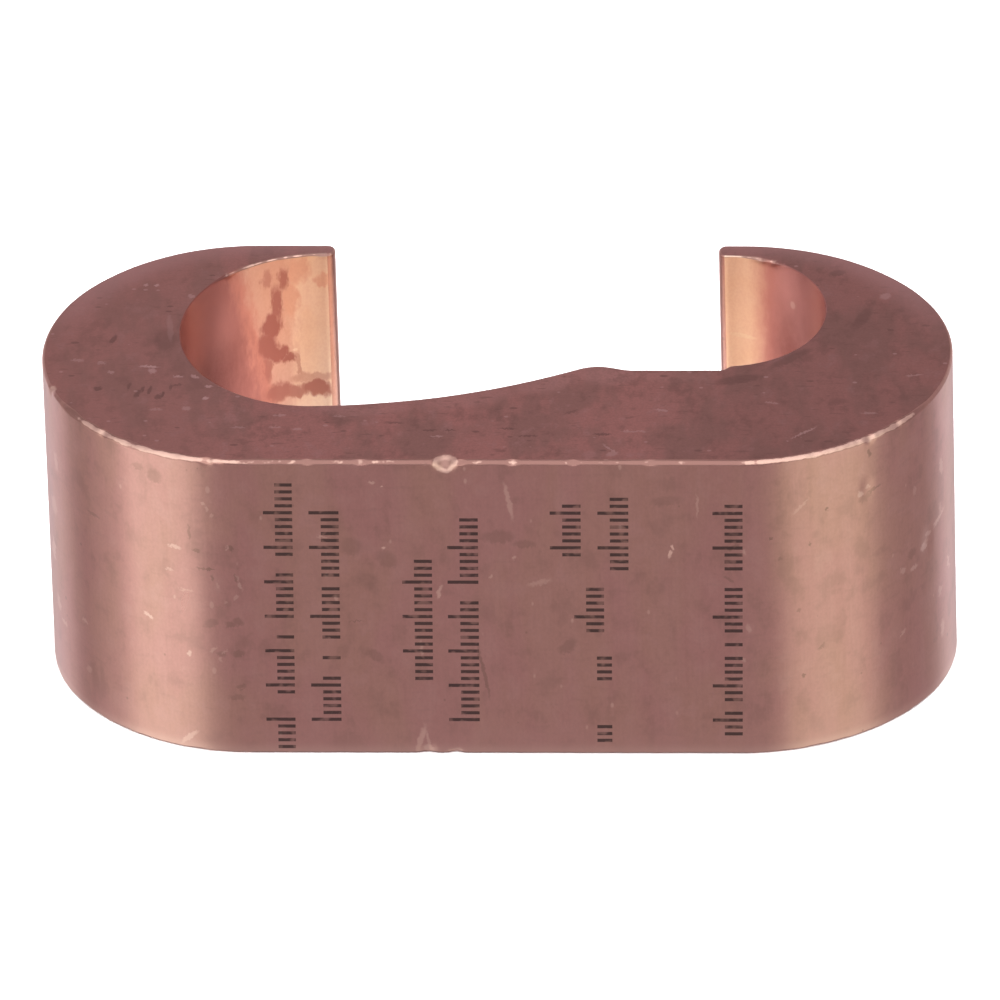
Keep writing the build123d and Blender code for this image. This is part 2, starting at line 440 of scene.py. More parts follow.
CUT_DARK_MARKS = (
    ((-23.6, -3.75), 0.35, 0.3, 0, 0.7),
    ((-21.2, -4.3), 0.6, 0.2, 70, 0.7),
    ((-19.9, -4.6), 0.4, 0.3, 50, 0.7),
    ((-22.95, 1.6), 0.6, 0.2, 80, 0.7),
    ((-19.8, 1.5), 1.6, 0.9, 90, 0.4),
    ((20.5, 8.9), 0.7, 0.4, 20, 0.6),
    ((22.1, 4.0), 1.6, 0.5, 70, 0.5),
    ((14.8, -2.7), 1.9, 0.55, 14, 0.55),
    ((17.9, -0.4), 2.0, 0.5, 40, 0.5),
    ((-19.7, -4.4), 0.5, 0.14, 80, 0.8),
    ((-20.5, -3.9), 0.6, 0.14, 80, 0.7),
    ((-20.9, -3.8), 0.4, 0.14, 80, 0.7),
    ((-21.7, -3.5), 0.5, 0.14, 80, 0.6),
    ((-19.2, -3.6), 0.4, 0.14, 80, 0.6),
    ((-18.9, -3.4), 0.5, 0.12, 20, 0.6),
    ((-25.65, -5.7), 0.6, 0.4, 0, 0.5),
    ((20.8, -5.1), 0.8, 0.4, 20, 0.4),
    ((-3.5, -8.2), 0.6, 0.13, 0, 0.7),
    ((-2.3, -8.2), 0.5, 0.12, 0, 0.7),
    ((1.1, -8.0), 0.7, 0.14, 0, 0.75),
    ((2.4, -8.8), 0.8, 0.14, 0, 0.7),
    ((6.85, -8.6), 0.7, 0.14, 0, 0.75),
    ((-5.6, -7.4), 0.7, 0.13, 0, 0.5),
    ((4.9, -6.2), 0.6, 0.14, 30, 0.5),
)

# A painted sheen: a paler fringe along the belly and the crest, by X and Y
CUT_FRINGE_SHEENS = (
    ((-7.5, -5.6), 4.0, 1.4, 4, 0.45),
    ((-1.5, -4.5), 4.0, 1.6, 15, 0.45),
    ((3.4, -2.6), 3.2, 1.8, 24, 0.6),
    ((6.9, -1.8), 2.8, 1.9, -6, 0.6),
    ((11.0, -2.0), 3.2, 1.3, 0, 0.35),
)

# Floor and lights, in metres. Only the floor's patch in the mouth shows in the metal.
FLOOR_REACH = 6.0
PATCH_LOW = (-0.0165, -0.006)
PATCH_HIGH = (0.018, 0.0105)
FLOOR_WHITE = (0.93, 0.93, 0.93)
FLOOR_GREY = (0.9, 0.9, 0.9)
FLOOR_ROUGHNESS = 0.9
SURROUND = (0.40, 0.335, 0.365)

# Lights: azimuth, elevation, distance, width, height, radiance and colour. The white ones overhead, which
# don't show in the metal, share four of these and have an azimuth and a radiance each.
WHITE = (1, 1, 1)
LIGHTS = {
    "left": (-50, -5, 0.6, 0.44, 1.2, 0.78, (0.96, 1.03, 0.96)),
    "left_soft": (-79, -5, 0.6, 0.3, 1.2, 0.19, WHITE),
    "right": (48, -5, 0.6, 0.5, 1.2, 0.52, (0.95, 1.05, 0.85)),
    "front": (0, 56, 0.6, 0.9, 0.85, 0.88, WHITE),
    "left_fill": (-138, -10, 0.6, 0.3, 0.9, 0.13, (0.9, 1.05, 1.25)),
    "right_fill": (138, -10, 0.6, 0.3, 0.9, 0.23, (0.9, 1.06, 1.2)),
    "back": (189, -25, 0.6, 1.24, 0.6, 0.33, WHITE),
}
OVERHEAD = (60, 0.8, 0.8, 0.5)
OVERHEAD_LIGHTS = {"over_front": (0, 5), "over_back": (180, 8.2)}

# The photograph's camera, fitted to the outlines of the section
CAMERA_ELEVATION = 34.01
CAMERA_YAW = -3.18
CAMERA_ROLL = 1.69
CAMERA_DISTANCE = 1196.0
PIXELS_PER_MM = 16.554
OFFSET_PIXELS = (1.31, -1.79)
IMAGE_PIXELS = 1000
SENSOR_MM = 36.0


def on_circle(centre, radius, degrees):
    """The point of a circle at an angle, counted from +X towards +Y."""
    turn = math.radians(degrees)
    return np.array([centre[0] + radius * math.cos(turn), centre[1] + radius * math.sin(turn)])


def arc(centre, radius, start, turn):
    """Points along an arc, from an angle through a turn, without its last point."""
    count = max(2, math.ceil(abs(math.radians(turn)) * radius / CURVE_SPACING))
    return [on_circle(centre, radius, start + turn * i / count) for i in range(count)]


def line(start, end):
    """Points along a straight run, without its last point."""
    start, end = np.array(start), np.array(end)
    count = max(2, math.ceil(np.linalg.norm(end - start) / CURVE_SPACING))
    return [start + (end - start) * i / count for i in range(count)]


def end_arcs(side, reach, half_width, half_depth):
    """A rounded end of the bar, on the +X (1) or the -X side (-1): a shoulder, the nose, a shoulder."""
    turn = math.radians(NOSE_HALF_ANGLE)
    gap = (reach - half_depth) / (math.sin(turn) + math.cos(turn) - 1)
    rise, inset = gap * math.sin(turn), gap * math.cos(turn)
    flat_end = side * (half_width - reach)
    start, shoulder = -90 * side, 90 - NOSE_HALF_ANGLE
    return [
        *arc((flat_end, side * rise), half_depth + rise, start, shoulder),
        *arc((flat_end + side * inset, 0), reach - inset, start + shoulder, 2 * NOSE_HALF_ANGLE),
        *arc((flat_end, -side * rise), half_depth + rise, start + 90 + NOSE_HALF_ANGLE, shoulder),
    ]


def rounded(points, corner, radius):
    """The closed run of points with the corner nearest to a place replaced by an arc."""
    points = np.roll(points, -int(np.argmin(np.linalg.norm(points - corner, axis=1))), axis=0)
    near = 4
    into, out_of = points[0] - points[-near], points[near] - points[0]
    cosine = into @ out_of / (np.linalg.norm(into) * np.linalg.norm(out_of))
    half_turn = math.acos(min(1.0, cosine)) / 2
    reach = radius * math.tan(half_turn)
    away = np.linalg.norm(points - points[0], axis=1)
    first = int(np.argmax(away > reach))
    last = len(points) - int(np.argmax(away[::-1] > reach)) - 1
    share = np.linspace(0, 1, max(6, math.ceil(2 * reach / CURVE_SPACING)))[:, None]
    weights = [(1 - share) ** 2, 2 * math.cos(half_turn) * share * (1 - share), share**2]
    ends = (points[last], points[0], points[first])
    bend = sum(w * p for w, p in zip(weights, ends)) / sum(weights)
    return np.concatenate([bend, points[first + 1:last]])


def section(frame):
    """The outline of the bar as evenly spaced points, counter-clockwise, with the metal on the left."""
    low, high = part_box("connector_body")
    half_width, half_depth = (high.x - low.x) / 2 / MM, (high.y - low.y) / 2 / MM
    mounts = {m["name"]: m for m in frame["record"]["mounts"]}
    run = np.array(mounts["run_groove"]["pos_m"][:2]) / MM
    tap = np.array(mounts["tap_groove"]["pos_m"][:2]) / MM
    run_radius = mounts["run_groove"]["dims"]["r_mm"]
    tap_radius = mounts["tap_groove"]["dims"]["r_mm"]

    run_tip_angle = 90 - math.degrees(math.asin(RUN_ARM_REACH / run_radius))
    tap_tip_angle = 90 + math.degrees(math.asin(TAP_ARM_REACH / tap_radius))
    step_top_angle = -90 + math.degrees(math.asin(STEP_WIDTH / tap_radius))
    run_tip_in = on_circle(run, run_radius, run_tip_angle)
    tap_tip_in = on_circle(tap, tap_radius, tap_tip_angle)
    run_tip_out = np.array([run_tip_in[0], half_depth])
    tap_tip_out = np.array([tap_tip_in[0], half_depth])
    step_top = on_circle(tap, tap_radius, step_top_angle)
    step_foot = tap - (0, tap_radius + FLAT_DROP)
    crest = step_foot + (-CREST_TO_TAP, CREST_HEIGHT)
    crest_foot = np.array([crest[0] + CREST_FALL, step_foot[1]])

    belly_start_angle = BELLY_START_ANGLE - 90
    belly_start = on_circle(run, run_radius, belly_start_angle)
    to_centre = (run - belly_start) / run_radius
    to_crest = crest - belly_start
    belly_radius = to_crest @ to_crest / (2 * to_crest @ to_centre)
    belly = belly_start + to_centre * belly_radius
    crest_angle = math.degrees(math.atan2(crest[1] - belly[1], crest[0] - belly[0]))

    run_flat_end = RUN_END_REACH - half_width
    tap_flat_end = half_width - TAP_END_REACH
    outside = [
        *line(run_tip_out, (run_flat_end, half_depth)),
        *end_arcs(-1, RUN_END_REACH, half_width, half_depth),
        *line((run_flat_end, -half_depth), (tap_flat_end, -half_depth)),
        *end_arcs(1, TAP_END_REACH, half_width, half_depth),
        *line((tap_flat_end, half_depth), tap_tip_out),
    ]
    inside = [
        *arc(tap, tap_radius, tap_tip_angle, step_top_angle - tap_tip_angle),
        *line(step_top, step_foot),
        *line(step_foot, crest_foot),
        *line(crest_foot, crest),
        *arc(belly, belly_radius, crest_angle, belly_start_angle - crest_angle),
        *arc(run, run_radius, belly_start_angle, run_tip_angle - 360 - belly_start_angle),
    ]
    tips = line(tap_tip_out, tap_tip_in), line(run_tip_in, run_tip_out)
    points = np.array([*outside, *tips[0], *inside, *tips[1]])
    for corner in (run_tip_out, tap_tip_out, tap_tip_in, run_tip_in):
        points = rounded(points, corner, ARM_CORNER_RADIUS)
    points = rounded(points, step_top, STEP_RADIUS)
    points = rounded(points, step_foot, STEP_RADIUS)
    points = rounded(points, crest_foot, CREST_FOOT_RADIUS)
    points = rounded(points, crest, CREST_RADIUS)
    fine = (away_from(outside, points) < ON_RUN) & (points[:, 1] < FINE_BELOW_Y)
    points = spaced(points, np.where(fine, FINE_SPACING, COARSE_SPACING))
    to_inside, to_outside = away_from(inside, points), away_from(outside, points)
    return points, np.where(points[:, 1] < 0, to_inside < to_outside, to_inside < ON_RUN)


def away_from(run, points):
    """For each point, how far it lies from a run of points."""
    tree = kdtree.KDTree(len(run))
    for i, (x, y) in enumerate(run):
        tree.insert((x, y, 0), i)
    tree.balance()
    return np.array([tree.find((x, y, 0))[2] for x, y in points.tolist()])


def spaced(points, spacing):
    """A closed run of points, set out again with the spacing that is given for each point."""
    closed = np.vstack([points, points[:1]])
    steps = np.linalg.norm(np.diff(closed, axis=0), axis=1) / spacing
    along = np.concatenate([[0], np.cumsum(steps)])
    places = np.linspace(0, along[-1], round(along[-1]), endpoint=False)
    return np.stack([np.interp(places, along, closed[:, k]) for k in (0, 1)], axis=1)


def inward(points):
    """For each point of the outline, the direction into the metal."""
    tangent = np.roll(points, -1, axis=0) - np.roll(points, 1, axis=0)
    tangent /= np.linalg.norm(tangent, axis=1, keepdims=True)
    return np.stack([-tangent[:, 1], tangent[:, 0]], axis=1)


def wander(points, scale, seed):
    """Smooth noise from 0 to 1 at each point. The scale is its waves for each millimetre, by axis."""
    shift = Vector((seed * 17.3, seed * 5.1, seed * 11.7))
    scaled = np.asarray(points) * scale
    falloff, lacunarity, octaves = 1.0, 2.0, 3
    values = [noise.fractal(Vector(p) + shift, falloff, lacunarity, octaves) for p in scaled.tolist()]
    return np.clip(0.5 + 0.5 * np.array(values), 0, 1)


def smooth(values, low, high):
    """The values' smooth way from low to high, as a number from 0 to 1."""
    share = np.clip((values - low) / (high - low), 0, 1)
    return share**2 * (3 - 2 * share)


def wear(outline, grooved):
    """How bright the cut edge is worn, partly a painted highlight, at each point of the outline, from 0 to
    1.
    """
    x, y = outline.T
    fade = OUTSIDE_FADE
    straight = smooth(np.abs(x), STRAIGHT_HALF + fade, STRAIGHT_HALF - fade)
    outside = smooth(y, BRIGHT_BELOW_Y + fade, BRIGHT_BELOW_Y - fade) * (1 - (1 - STRAIGHT_WEAR_AND_HIGHLIGHT) * straight)
    fade = GROOVE_FADE
    first, last = TAP_BRIGHT_X
    tap = smooth(x, first - fade, first) * smooth(x, last + fade, last)
    back = smooth(y, BRIGHT_ABOVE_Y - fade, BRIGHT_ABOVE_Y + fade)
    groove = GROOVE_WEAR_AND_HIGHLIGHT * back * np.where(x < 0, 1, tap)
    return DULL_WEAR_AND_HIGHLIGHT + (1 - DULL_WEAR_AND_HIGHLIGHT) * np.where(grooved, groove, outside)


def wall_rows(outline, grooved, height):
    """Rings of points up the wall, from just inside the lower end face to just inside the upper one.

    Returns the points, one ring after another, and for each point how bright it is worn, partly a painted
    highlight.
    """
    normal = inward(outline)
    flat = np.zeros(len(outline))
    worn = wear(outline, grooved)
    dull = np.where(grooved, DULL_GROOVE_SHARE, DULL_EDGE_SHARE)
    share = dull + (np.where(grooved, GROOVE_EDGE_SHARE, 1.0) - dull) * np.minimum(1, worn / STRAIGHT_WEAR_AND_HIGHLIGHT)
    moves = range(-EVENING_REACH, EVENING_REACH + 1)
    share = sum(np.roll(share, k) for k in moves) / len(moves)
    radii = []
    for z in (0.0, height):
        at = np.column_stack([outline, np.full(len(outline), z)])
        swing = wander(at, EDGE_WAVES, seed=3) - 0.5
        radii.append((EDGE_RADIUS + 2 * EDGE_WANDER * worn * swing) * share)
    low, high = radii[0] * FOOT_EDGE_SHARE, radii[1]
    turns = np.radians(np.linspace(0, 90, EDGE_STEPS + 1))
    steps = [
        (1 - math.cos(turn) ** EDGE_FLATNESS, 1 - math.sin(turn) ** EDGE_FLATNESS, math.sin(2 * turn))
        for turn in turns
    ]
    rows = [(flat + FACE_MARGIN, flat, 0.0)]
    rows += [(low * across, low * down, bright) for across, down, bright in steps[::-1]]
    for k in range(1, WALL_ROWS):
        rise = (1 - math.cos(math.pi * k / WALL_ROWS)) / 2
        rows.append((flat, low + (height - high - low) * rise, 0.0))
    rows += [(high * across, height - high * down, bright) for across, down, bright in steps]
    rows.append((flat + FACE_MARGIN, flat + height, 0.0))
    rings, edge = [], []
    for inset, z, bright in rows:
        rings.append(np.column_stack([outline + normal * inset[:, None], z]))
        edge.append(worn * bright)
    return np.array(rings), np.array(edge)


def inside_points(ring, spacing):
    """Points of a triangular grid that lie inside a ring and clear of it."""
    low, high = ring.min(axis=0), ring.max(axis=0)
    rows = np.arange(low[1], high[1], spacing * math.sqrt(0.75))
    grid = np.array([
        (x + spacing / 2 * (k % 2), y)
        for k, y in enumerate(rows)
        for x in np.arange(low[0], high[0], spacing)
    ])
    after = np.roll(ring, -1, axis=0)
    crossings = np.zeros(len(grid), int)
    for (x0, y0), (x1, y1) in zip(ring, after):
        if y0 == y1:
            continue
        spans = (y0 > grid[:, 1]) != (y1 > grid[:, 1])
        crossings += spans & (grid[:, 0] < x0 + (grid[:, 1] - y0) * (x1 - x0) / (y1 - y0))
    kept = grid[crossings % 2 == 1]
    return kept[away_from(ring, kept) > spacing * CLEAR_SHARE].tolist()


def fill(ring, spacing):
    """The points inside a ring and the triangles that fill it, which count the ring's points first."""
    grid = inside_points(ring, spacing)
    points = [Vector(p) for p in ring.tolist()] + [Vector(p) for p in grid]
    made = delaunay_2d_cdt(points, [], [list(range(len(ring)))], 1, FILL_TOLERANCE)
    source = [ids[0] for ids in made[3]]
    return grid, [[source[i] for i in face] for face in made[2]]


def pressed(points, height):
    """The points with the metal's waviness and dents worked in, and how hard each of them was struck."""
    z = points[:, 2]
    middle = np.clip(np.minimum(z, height - z) / WAVE_FADE, 0, 1)
    wall = WALL_WAVE * wander(points, WALL_WAVES, seed=5) * middle
    flat = points[:, :2]
    away = flat / np.linalg.norm(flat / WALL_WAVE_SHARES, axis=1, keepdims=True)
    points = points - np.column_stack([away * wall[:, None], np.zeros(len(points))])
    cut = FACE_WAVE * wander(points, FACE_WAVES, seed=8) * (1 - middle)
    points[:, 2] += np.where(z < height / 2, cut, -cut)
    struck = np.zeros(len(points))
    for centre, reach, depth, push in DENTS:
        way = np.array(push) / np.linalg.norm(push)
        near_by = np.clip(1 - np.linalg.norm(points - centre, axis=1) / reach, 0, 1)
        points = points + way * (depth * near_by**2 * (3 - 2 * near_by))[:, None]
        struck = np.maximum(struck, near_by * min(HARDEST, (depth / BARING_DEPTH) ** 2))
    return points, struck


def added(name, data):
    """A new object in the scene that holds the data."""
    piece = bpy.data.objects.new(name, data)
    bpy.context.scene.collection.objects.link(piece)
    return piece


def side_finish(point, in_groove, row, last_row):
    """The number of the finish of a face between two rings."""
    if row in (0, last_row):
        name = "cut_top" if row else "cut_bottom"
    elif in_groove:
        name = "groove"
    elif point[1] > 0:
        name = "wall_back"
    elif point[0] < LEFT_TO_X:
        name = "wall_left"
    else:
        name = "wall_right" if point[0] > RIGHT_FROM_X else "wall_front"
    return FINISHES.index(name)


def connector(frame):
    """The connector as one mesh object, with a finish for each wall, the grooves and each cut end."""
    low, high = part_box("connector_body")
    height = (high.z - low.z) / MM
    outline, grooved = section(frame)
    rings, edge = wall_rows(outline, grooved, height)
    count, last = len(outline), len(rings) - 1
    vertices = rings.reshape(-1, 3)
    faces, finishes = [], []
    for j in range(last):
        for i in range(count):
            k = (i + 1) % count
            faces.append((j * count + i, j * count + k, (j + 1) * count + k, (j + 1) * count + i))
            finishes.append(side_finish(outline[i], grooved[i] and grooved[k], j, last - 1))
    for row, z, flip in ((0, 0.0, True), (last, height, False)):
        grid, triangles = fill(rings[row][:, :2], FACE_SPACING)
        start = len(vertices)
        vertices = np.vstack([vertices, [(x, y, z) for x, y in grid]])
        for t in triangles:
            ids = [row * count + i if i < count else start + i - count for i in t]
            faces.append(ids[::-1] if flip else ids)
            finishes.append(FINISHES.index("cut_bottom" if flip else "cut_top"))
    worn = np.zeros(len(vertices))
    worn[:edge.size] = edge.reshape(-1)
    vertices, struck = pressed(vertices, height)
    mesh = bpy.data.meshes.new("connector")
    mesh.from_pydata((vertices * MM).tolist(), [], faces)
    mesh.shade_smooth()
    # Edge wear, which the finishes also use for a painted highlight on the edges turned towards the front
    mesh.attributes.new("worn_edge", "FLOAT", "POINT").data.foreach_set("value", worn)
    mesh.attributes.new("struck", "FLOAT", "POINT").data.foreach_set("value", struck)
    made = {
        "wall_back": wall_finish("wall_back"),
        "wall_left": wall_finish("wall_left", LEFT_LIGHT, LEFT_DARK),
        "wall_front": wall_finish("wall_front", FRONT_LIGHT, FRONT_DARK, printed=True),
        "wall_right": wall_finish("wall_right", RIGHT_LIGHT, RIGHT_DARK),
        "groove": groove_finish(),
        "cut_top": cut_finish("cut_top", CUT_LIGHT_MARKS, CUT_DARK_MARKS),
        "cut_bottom": cut_finish("cut_bottom"),
    }
    for name in FINISHES:
        mesh.materials.append(made[name])
    mesh.polygons.foreach_set("material_index", finishes)
    return added("copper_connector", mesh)


class Graph:
    """One material's nodes, with a short call for each kind that is used. Places are in millimetres."""

    def __init__(self, name):
        self.material = bpy.data.materials.new(name)
        self.material.use_nodes = True
        self.tree = self.material.node_tree
        self.shader = self.tree.nodes["Principled BSDF"]
        place = self.put("ShaderNodeTexCoord", {}).outputs["Object"]
        self.place = self.vector_math("MULTIPLY", place, (1 / MM, 1 / MM, 1 / MM))
        self.x, self.y, self.z = self.put("ShaderNodeSeparateXYZ", {"Vector": self.place}).outputs

    def put(self, kind, inputs, **settings):
        """A new node. An input is a number, a colour or another node's output."""
        node = self.tree.nodes.new(kind)
        for name, value in settings.items():
            setattr(node, name, value)
        for name, value in inputs.items():
            if isinstance(value, bpy.types.NodeSocket):
                self.tree.links.new(value, node.inputs[name])
            else:
                node.inputs[name].default_value = value
        return node

    def math(self, operation, *values):
        node = self.put("ShaderNodeMath", dict(enumerate(values)), operation=operation)
        return node.outputs[0]

    def scaled(self, value, factor, shift):
        """The value times a factor, plus a shift."""
        return self.math("MULTIPLY_ADD", value, factor, shift)

    def vector_math(self, operation, *vectors):
        node = self.put("ShaderNodeVectorMath", dict(enumerate(vectors)), operation=operation)
        return node.outputs[0]

    def noise(self, factors, detail=2.0, shift=0.0, roughness=0.5):
        """Noise from 0 to 1. The factors are its waves for each millimetre, by axis."""
        vector = self.vector_math("MULTIPLY_ADD", self.place, factors, (shift,) * 3)
        inputs = {"Vector": vector, "Scale": 1.0, "Detail": detail, "Roughness": roughness}
        return self.put("ShaderNodeTexNoise", inputs).outputs[0]

    def between(self, value, low, high, start=0.0, end=1.0):
        """The value's smooth way from low to high, as a number from start to end."""
        inputs = {"Value": value, "From Min": low, "From Max": high, "To Min": start, "To Max": end}
        return self.put("ShaderNodeMapRange", inputs, interpolation_type="SMOOTHSTEP").outputs[0]

    def blend(self, share, under, over):
        """A colour: the one under, with a share of the one over it.

        Of the node's inputs and outputs for all kinds of values, only a colour's are used, by number.
        """
        node = self.put("ShaderNodeMix", {}, data_type="RGBA")
        for index, value in ((0, share), (6, under), (7, over)):
            if isinstance(value, bpy.types.NodeSocket):
                self.tree.links.new(value, node.inputs[index])
            else:
                node.inputs[index].default_value = value if index == 0 else (*value, 1.0)
        return node.outputs[2]

    def tinted(self, colour, over, value, low, high, most=1.0):
        """The colour, with more of the one over it, up to the most, as the value goes from low to high."""
        return self.blend(self.between(value, low, high, 0.0, most), colour, over)

    def product(self, first, *rest):
        for value in rest:
            first = self.math("MULTIPLY", first, value)
        return first

    def most(self, first, *rest):
        for value in rest:
            first = self.math("MAXIMUM", first, value)
        return first

    def specks(self, factors, share, size, shift=0.0):
        """Scattered spots, one in a share of the cells of a grid with these cells for each millimetre."""
        vector = self.vector_math("MULTIPLY_ADD", self.place, factors, (shift,) * 3)
        cells = self.put("ShaderNodeTexVoronoi", {"Vector": vector, "Scale": 1.0})
        chance = self.put("ShaderNodeSeparateColor", {"Color": cells.outputs["Color"]}).outputs
        reach = self.math("MULTIPLY", chance[1], size)
        spot = self.math("SUBTRACT", reach, cells.outputs["Distance"])
        chosen = self.math("LESS_THAN", chance[0], share)
        return self.product(self.between(spot, 0.0, size * 0.35), chosen)

    def plane(self, across, up):
        return self.put("ShaderNodeCombineXYZ", {"X": across, "Y": up}).outputs[0]

    def frayed(self, sway, up, grain):
        """The plane of X and another axis, with X frayed by one noise and the other axis by the grain."""
        across = self.scaled(sway, FRAY, self.x)
        return self.plane(across, self.scaled(grain, FRAY, up))

    def marks(self, plane, marks):
        """Soft-edged oval marks: middle, half length, half width, turn in degrees and strength of each."""
        turned = {0: plane}
        found = []
        for (a, b), length, width, turn, strength in marks:
            angle = math.radians(turn)
            if turn not in turned:
                inputs = {"Vector": plane, "Angle": -angle}
                node = self.put("ShaderNodeVectorRotate", inputs, rotation_type="Z_AXIS")
                turned[turn] = node.outputs[0]
            along = a * math.cos(angle) + b * math.sin(angle)
            over = b * math.cos(angle) - a * math.sin(angle)
            scale, middle = (1 / length, 1 / width, 0), (-along / length, -over / width, 0)
            off = self.vector_math("MULTIPLY_ADD", turned[turn], scale, middle)
            away = self.put("ShaderNodeVectorMath", {0: off}, operation="LENGTH").outputs["Value"]
            found.append(self.between(away, 1.0, 0.5, 0.0, strength))
        return self.most(*found)

    def spans(self, value, top, spans):
        """One where the value, from 0 to the top, lies in one of the spans, and zero elsewhere."""
        node = self.put("ShaderNodeValToRGB", {"Fac": self.math("DIVIDE", value, top)})
        ramp = node.color_ramp
        ramp.interpolation = "CONSTANT"
        ramp.elements.remove(ramp.elements[1])
        ramp.elements[0].color = (0, 0, 0, 1)
        for low, high in spans:
            ramp.elements.new(low / top).color = (1, 1, 1, 1)
            ramp.elements.new(high / top).color = (0, 0, 0, 1)
        return node.outputs["Color"]

    def finish(self, colour, roughness, lines, grain):
        """Sets the surface's colour, roughness and relief, and hands the material over.

        The relief's lines and grain are each a noise with its height in millimetres.
        """
        height = self.scaled(*lines, self.math("MULTIPLY", *grain))
        bump = self.put("ShaderNodeBump", {"Height": height, "Distance": MM, "Strength": 1.0})
        self.tree.links.new(colour, self.shader.inputs["Base Color"])
        self.tree.links.new(roughness, self.shader.inputs["Roughness"])
        self.tree.links.new(bump.outputs["Normal"], self.shader.inputs["Normal"])
        self.shader.inputs["Metallic"].default_value = 1.0
        return self.material


def bared(g, colour):
    """The colour, with the cut edges and the dents rubbed down to bare metal, and how far they are.

    The bare edges are partly a painted highlight on the edges turned towards the front, and a dull band
    along the edges and the dents' bottoms are darkened with painted shade.
    """
    worn = g.put("ShaderNodeAttribute", {}, attribute_name="worn_edge").outputs["Fac"]
    struck = g.put("ShaderNodeAttribute", {}, attribute_name="struck").outputs["Fac"]
    uneven = g.noise((1.5, 1.5, 1.5), 2.0, 4.0)
    edge = g.between(worn, *EDGE_SHADE_AND_WEAR_SHOW)
    # Chips down to bare metal on the edges: partly wear, partly a painted highlight
    patchy = g.product(edge, g.between(g.scaled(worn, 0.75, uneven), *WORN_CHIPS_AND_HIGHLIGHT))
    nicked = g.math("ADD", struck, g.scaled(uneven, 0.8, -0.4))
    bare = g.most(patchy, g.between(nicked, *STRUCK_BARE, 0.0, 0.9))
    # Painted shade: a dull dark band along the worn edges, weaker towards the ends
    dull = g.between(g.math("ABSOLUTE", g.x), *DULL_TO_X, 0.9, 0.4)
    colour = g.blend(g.product(edge, dull), colour, COPPER_DULL_AND_SHADE)
    colour = g.blend(bare, colour, BARE_COPPER)
    # Painted shade in the bottom of each dent
    return g.tinted(colour, COPPER_DULL_AND_SHADE, nicked, *STRUCK_SHADE, 0.8), bare


def wall_finish(name, light_marks=(), dark_marks=(), printed=False):
    """The drawn outside: satin copper, with die lines along the bar, tarnish, scuffs, worn ink and, at the
    foot, painted light and a painted reflection of the floor.
    """
    g = Graph(name)
    broad = g.noise((0.9, 0.9, 0.03), 1.0)
    fine = g.noise((6.0, 6.0, 0.2), 1.0, 3.0)
    patches = g.noise((0.3, 0.3, 0.1), 2.0, 5.0)
    smoky = g.noise((0.6, 0.6, 0.45), 4.0, 8.0, 0.6)
    grain = g.noise((7.0, 7.0, 5.0), 1.0, 2.0)
    colour = g.blend(g.between(patches, 0.38, 0.62), COPPER_PINK, COPPER_TAN)
    colour = g.tinted(colour, COPPER_SMOKE, smoky, 0.5, 0.68, 0.34)
    colour = g.tinted(colour, COPPER_PALE, smoky, 0.48, 0.34, 0.4)
    colour = g.tinted(colour, COPPER_PALE, broad, 0.3, 0.7, 0.2)
    colour = g.tinted(colour, COPPER_DARK, fine, 0.35, 0.75, 0.06)
    colour = g.tinted(colour, COPPER_DARK, grain, 0.3, 0.7, 0.12)
    rubbed = g.noise((0.6, 0.6, 2.4), 3.0, 15.0)
    scored = g.noise((4.5, 4.5, 0.6), 2.0, 9.0)
    colour = g.tinted(colour, COPPER_SMOKE, rubbed, 0.54, 0.74, 0.12)
    colour = g.tinted(colour, COPPER_PALE, scored, 0.56, 0.72, 0.16)
    # Painted light from the floor towards the foot, and a painted reflection of the floor at the very foot
    colour = g.tinted(colour, COPPER_PALE, g.z, *FOOT_FLOOR_LIGHT_Z, 0.35)
    colour = g.tinted(colour, BARE_COPPER, g.z, *FOOT_FLOOR_REFLECTION_Z, 0.5)
    light = g.product(g.specks((1.3, 1.3, 0.7), 0.13, 0.25, 6.0), 0.45)
    dark = g.product(g.specks((1.6, 1.6, 1.3), 0.1, 0.22, 13.0), 0.5)
    if light_marks:
        plane = g.frayed(rubbed, g.z, grain)
        light = g.most(light, g.marks(plane, light_marks))
        dark = g.most(dark, g.marks(plane, dark_marks))
    colour = g.blend(dark, colour, COPPER_SMOKE)
    colour = g.blend(light, colour, BARE_COPPER)
    colour, bare = bared(g, colour)
    roughness = g.scaled(patches, 0.1, WALL_ROUGHNESS - 0.05)
    roughness = g.scaled(bare, BARE_ROUGHNESS - WALL_ROUGHNESS, roughness)
    if printed:
        roughness = g.scaled(light, SCUFFS_ROUGHER, roughness)
        inked = ink(g)
        colour = g.blend(inked, colour, INK)
        roughness = g.scaled(inked, INK_ROUGHER, roughness)
    return g.finish(colour, roughness, (fine, WALL_LINES), (grain, WALL_GRAIN))


def ink(g):
    """Columns of plain tick marks, worn in places, where the real one carries its print."""
    across = g.scaled(g.z, -math.tan(math.radians(PRINT_TILT)), g.x)
    count = g.math("DIVIDE", g.z, TICK_PITCH)
    half, soft = TICK_THICKNESS / TICK_PITCH / 2, TICK_SOFTNESS / TICK_PITCH
    bar = g.between(g.math("PINGPONG", count, 0.5), half + soft, half - soft)
    long_ones = g.math("LESS_THAN", g.math("FLOORED_MODULO", g.math("ROUND", count), TICKS_TO_LONG), 0.5)
    half_reach = g.scaled(long_ones, (1 - SHORT_TICK) / 2, SHORT_TICK / 2)
    columns = []
    for middle, width, runs in PRINT_COLUMNS:
        from_base = g.scaled(across, -1 / width, middle / width + 0.5)
        inside = g.math("COMPARE", from_base, half_reach, half_reach)
        spans = [((first - 0.5) * TICK_PITCH, (last + 0.5) * TICK_PITCH) for first, last in runs]
        columns.append(g.product(inside, g.spans(g.z, PRINT_TOP, spans)))
    worn = g.between(g.noise((1.6, 1.6, 1.6), 1.0, 21.0), 0.3, 0.5, *INK_LEFT)
    return g.product(g.most(*columns), bar, worn)


